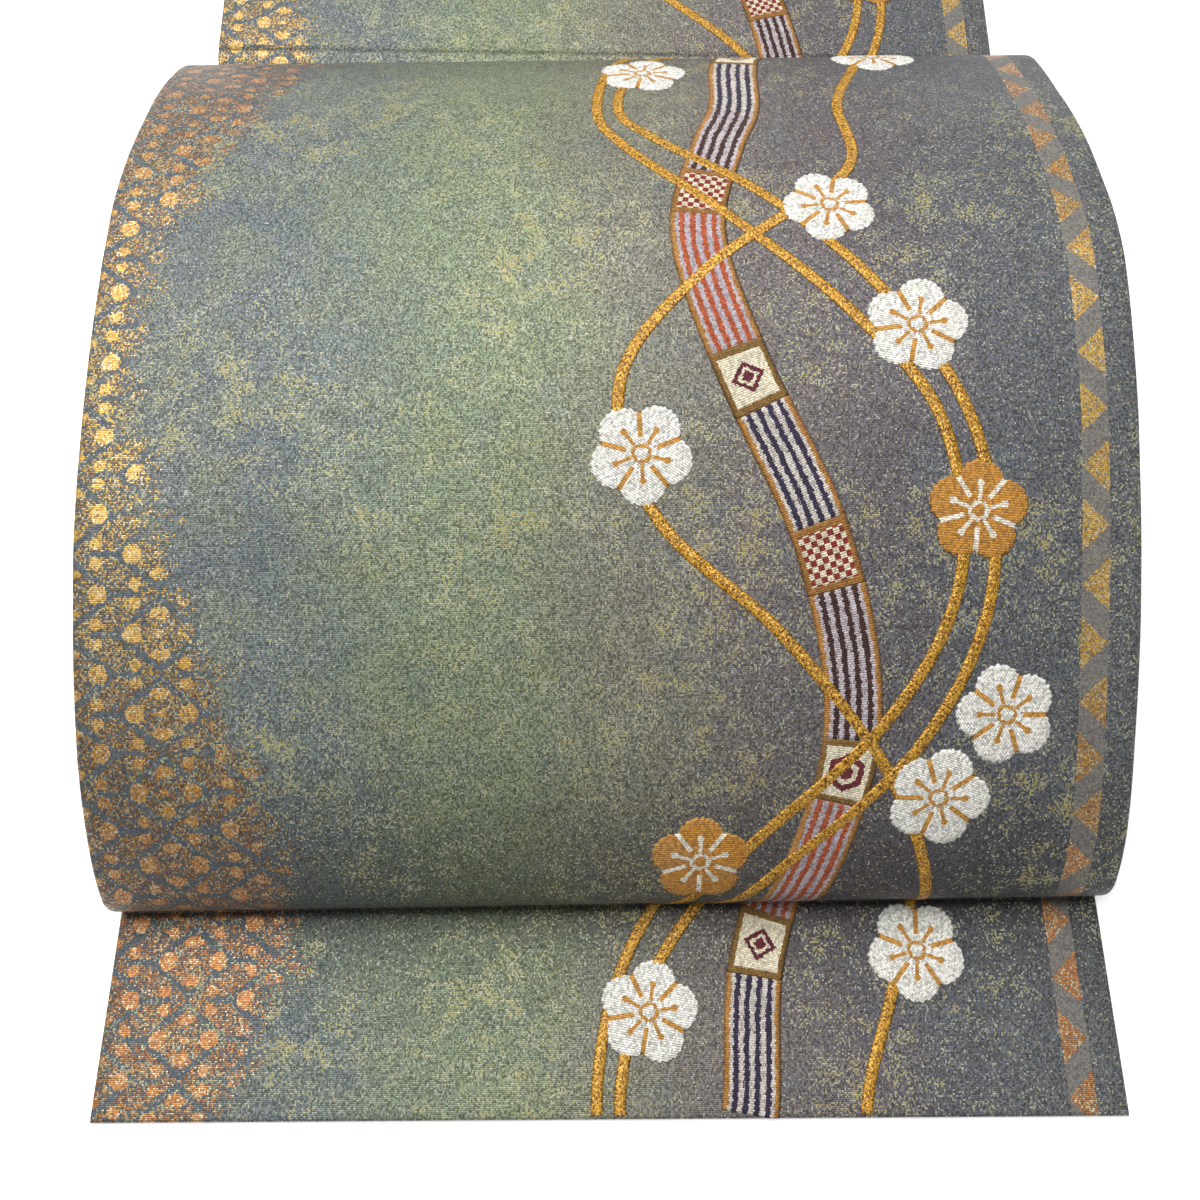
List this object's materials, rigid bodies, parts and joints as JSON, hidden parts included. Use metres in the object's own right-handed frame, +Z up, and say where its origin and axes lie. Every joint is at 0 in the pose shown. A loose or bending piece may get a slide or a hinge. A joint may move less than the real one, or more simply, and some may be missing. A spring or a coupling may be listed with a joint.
{
  "type": "obi sash",
  "caption": "Stiff woven obi sash laid out for viewing: flat end flap, hollow arched drum behind it, and the rest of its length folded into a stack.",
  "frame": {"origin": "middle of the footprint, on the surface that the sash lies on", "axes": "+X across the width to the right selvage, +Y back along the sash from the flap to the stack, +Z up"},
  "size_m": [0.3124, 0.7656, 0.0953],
  "materials": {
    "tare_flap": "satin",
    "drum": "satin",
    "tuck": "satin",
    "top_layer": "satin",
    "folded_stack": "satin"
  },
  "bodies": {
    "root": {"tare_flap": "tare_flap", "drum": "drum", "tuck": "tuck", "top_layer": "top_layer", "folded_stack": "folded_stack"}
  },
  "joints": []
}
